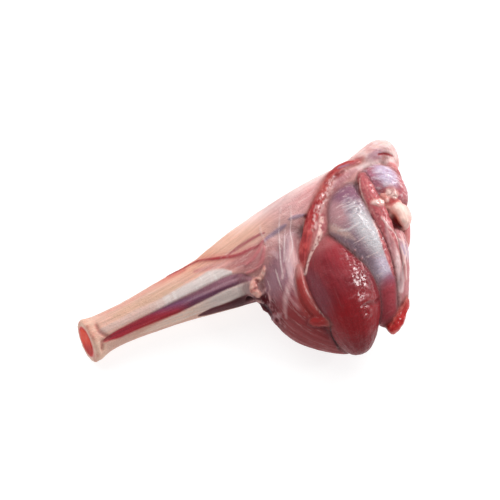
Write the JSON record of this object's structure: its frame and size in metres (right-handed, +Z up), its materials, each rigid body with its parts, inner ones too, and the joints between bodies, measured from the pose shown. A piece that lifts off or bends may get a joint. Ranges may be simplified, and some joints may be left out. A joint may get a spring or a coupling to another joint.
{
  "type": "venison shank",
  "caption": "Raw bone-in deer hind shank lying on its side: a slim sinewy shaft with a sawn bone end, widening to bare muscles round the knee.",
  "frame": {"origin": "middle of the bounding box's base, on the surface that the shank lies on", "axes": "+X from the sawn end of the bone to the knee, +Y towards the shin, -Y towards the calf, +Z up"},
  "size_m": [0.3702, 0.1876, 0.094],
  "materials": {
    "raw_meat": "wet raw muscle under pale sinew",
    "bone": "damp fresh bone",
    "marrow": "soft red marrow"
  },
  "bodies": {
    "root": {"meat": "raw_meat", "bone": "bone", "marrow": "marrow"}
  },
  "joints": []
}
